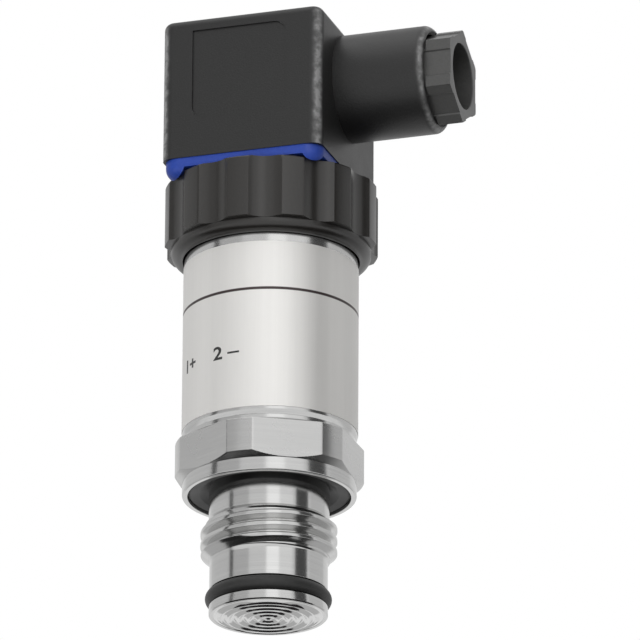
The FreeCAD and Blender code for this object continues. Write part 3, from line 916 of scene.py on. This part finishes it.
right = Vector((math.cos(AZIMUTH), math.sin(AZIMUTH), 0))
back = direction(AZIMUTH, ELEVATION)
up = back.cross(right)
aim = Vector((0, 0, AIM_HEIGHT)) + right * AIM_ASIDE
leant_right = right * math.cos(ROLL) + up * math.sin(ROLL)
leant_up = up * math.cos(ROLL) - right * math.sin(ROLL)
facing = Matrix((leant_right, leant_up, back)).transposed().to_4x4()
camera_data = bpy.data.cameras.new("camera")
camera_data.lens = camera_data.sensor_width * DISTANCE / VIEW_WIDTH
camera_data.clip_end = 20
camera = bpy.data.objects.new("camera", camera_data)
camera.matrix_world = Matrix.Translation(aim + back * DISTANCE) @ facing
bpy.context.scene.collection.objects.link(camera)
bpy.context.scene.camera = camera
print("lens %.0f mm" % camera_data.lens)

# %% [markdown]
# ## The lights
# A large soft box in front, a lower one at the left and one overhead light the object plainly. The
# first two light without showing in gloss, because steel is too bright a mirror for them: what steel
# shows comes from the cards in the next step.

# %% Soft boxes
LAMP_LIFT = 0.03


def soft_box(name, azimuth, elevation, distance, size, power, in_gloss):
    light = bpy.data.lights.new(name, "AREA")
    light.shape = "RECTANGLE"
    light.size, light.size_y = size
    light.energy = power
    lamp = bpy.data.objects.new(name, light)
    bpy.context.scene.collection.objects.link(lamp)
    place = direction(math.radians(azimuth), math.radians(elevation)) * distance
    lamp.location = place + Vector((0, 0, LAMP_LIFT))
    lamp.rotation_euler = place.to_track_quat("Z", "Y").to_euler()
    lamp.visible_glossy = in_gloss


soft_box("key", 16, 18, 1.2, (0.9, 0.9), 7.6, False)
soft_box("low front box", -36, -22, 1.2, (0.7, 0.45), 4.2, False)
soft_box("overhead", -25, 66, 1.0, (0.9, 0.9), 1.6, True)

# %% [markdown]
# ## Cards for the steel to reflect
# Steel shows what stands round it. Curved cards, bright, grey and dark, give its round walls their
# upright streaks: each one spans a few degrees of azimuth.

# %% Cards
CARD_DISTANCE = 0.55
CARD_LOW, CARD_HIGH = -0.12, 0.6
CARD_STEPS = 12


def card_finish(name, brightness):
    material = bpy.data.materials.new(name)
    material.use_nodes = True
    tree = material.node_tree
    tree.nodes.remove(tree.nodes["Principled BSDF"])
    glow = add(tree, "ShaderNodeEmission")
    glow.inputs["Strength"].default_value = brightness
    tree.links.new(glow.outputs[0], tree.nodes["Material Output"].inputs["Surface"])
    return material


def hang(bm, name, brightness):
    """Make a card of bm that only reflections see."""
    mesh = bpy.data.meshes.new(name)
    bm.to_mesh(mesh)
    bm.free()
    mesh.materials.append(card_finish(name, brightness))
    sheet = bpy.data.objects.new(name, mesh)
    bpy.context.scene.collection.objects.link(sheet)
    sheet.visible_camera = False
    sheet.visible_diffuse = False
    sheet.visible_shadow = False


def card(name, start, end, brightness):
    """A curved card from one azimuth to another."""
    bm = bmesh.new()
    foot = bm.verts.new((0, -CARD_DISTANCE, CARD_LOW))
    top = bm.verts.new((0, -CARD_DISTANCE, CARD_HIGH))
    edge = bm.edges.new((foot, top))
    to_start = Matrix.Rotation(math.radians(start), 3, "Z")
    bmesh.ops.rotate(bm, verts=bm.verts, cent=(0, 0, 0), matrix=to_start)
    bmesh.ops.spin(bm, geom=[foot, top, edge], cent=(0, 0, 0), axis=(0, 0, 1),
                   angle=math.radians(end - start), steps=CARD_STEPS)
    hang(bm, name, brightness)


card("bright card", 14, 38, 1.25)
card("front grey card", 38, 64, 0.95)
card("right dark card", 70, 97, 0.08)
card("right grey card", 103, 150, 0.65)
card("left soft card", -52, -20, 0.58)
card("left dark line", -62, -53, 0.12)
card("left grey card", -125, -62, 0.68)

# %% [markdown]
# ## Sheets below
# Faces that look down show what lies under the object. Dark sheets give the chamfers and the
# diaphragm's ripples their black lines, and grey ones beside them keep the lines short. Each is a
# level rectangle, squared up to the camera, and its spans are in metres across the view and away.

# %% Sheets below
SHEET_Z = -0.5
GREY_SHEET_Z = -0.52
NEAR_EDGE = 0.085
DARK, GREY = 0.02, 0.55


def level_sheet(name, across, away, height, brightness):
    bm = bmesh.new()
    bmesh.ops.create_grid(bm, x_segments=1, y_segments=1, size=0.5)
    bmesh.ops.scale(bm, verts=bm.verts, vec=(across[1] - across[0], away[1] - away[0], 1))
    bmesh.ops.translate(bm, verts=bm.verts, vec=(sum(across) / 2, sum(away) / 2, height))
    squared_up = Matrix.Rotation(AZIMUTH, 3, "Z")
    bmesh.ops.rotate(bm, verts=bm.verts, cent=(0, 0, 0), matrix=squared_up)
    hang(bm, name, brightness)


level_sheet("low dark sheet", (-0.8, 0.8), (-0.29, NEAR_EDGE), SHEET_Z, DARK)
level_sheet("low dark wing left", (-0.8, -0.225), (NEAR_EDGE, 0.2), SHEET_Z, DARK)
level_sheet("low dark wing right", (0.2, 0.8), (NEAR_EDGE, 0.26), SHEET_Z, DARK)
level_sheet("low grey wing left", (-1.4, -0.12), (NEAR_EDGE, 1.2), GREY_SHEET_Z, GREY)
level_sheet("low grey wing right", (0.12, 1.4), (NEAR_EDGE, 1.2), GREY_SHEET_Z, GREY)

# %% [markdown]
# ## The floor
# The floor is a plain pale sheet far below. Its own colour takes the soft light, and where the camera
# or a reflection looks straight at it, it glows at a set strength instead, so it stays pale without
# more light on the object.

# %% Floor
FLOOR_Z = -2.2
FLOOR_GLOW = 0.9


def build_floor_finish():
    material = bpy.data.materials.new("pale floor")
    material.use_nodes = True
    tree = material.node_tree
    shader = tree.nodes["Principled BSDF"]
    shader.inputs["Base Color"].default_value = (0.92, 0.92, 0.92, 1)
    shader.inputs["Roughness"].default_value = 0.8
    rays = add(tree, "ShaderNodeLightPath")
    glow = add(tree, "ShaderNodeEmission")
    glow.inputs["Strength"].default_value = FLOOR_GLOW
    mix = add(tree, "ShaderNodeMixShader")
    seen = maths(tree, "MAXIMUM", rays.outputs["Is Glossy Ray"], rays.outputs["Is Camera Ray"])
    tree.links.new(seen, mix.inputs[0])
    tree.links.new(shader.outputs[0], mix.inputs[1])
    tree.links.new(glow.outputs[0], mix.inputs[2])
    tree.links.new(mix.outputs[0], tree.nodes["Material Output"].inputs["Surface"])
    return material


bm = bmesh.new()
bmesh.ops.create_grid(bm, x_segments=1, y_segments=1, size=12)
bmesh.ops.translate(bm, verts=bm.verts, vec=(0, 0, FLOOR_Z))
floor_mesh = bpy.data.meshes.new("floor")
bm.to_mesh(floor_mesh)
bm.free()
floor_mesh.materials.append(build_floor_finish())
floor = bpy.data.objects.new("floor", floor_mesh)
bpy.context.scene.collection.objects.link(floor)

# %% [markdown]
# ## The world
# The world is white where the camera sees it. Light Path tells the rays apart: diffuse rays get a dim
# fill, and glossy rays get a paler one, so that steel and plastic sit in a light room.

# %% World
AMBIENT = 0.24
GLOSS = 0.80
SEEN = 1.0

world = bpy.data.worlds.new("studio")
world.use_nodes = True
bpy.context.scene.world = world
sky = world.node_tree
background = sky.nodes["Background"]
background.inputs["Color"].default_value = (1, 1, 1, 1)
rays = add(sky, "ShaderNodeLightPath")
seen = maths(sky, "MAXIMUM", rays.outputs["Is Camera Ray"], rays.outputs["Is Transmission Ray"])
for_seen = maths(sky, "MULTIPLY", seen, SEEN - AMBIENT)
for_gloss = maths(sky, "MULTIPLY", rays.outputs["Is Glossy Ray"], GLOSS - AMBIENT)
strength = maths(sky, "ADD", maths(sky, "ADD", AMBIENT, for_seen), for_gloss)
sky.links.new(strength, background.inputs["Strength"])
bpy.context.scene.view_settings.view_transform = "Standard"
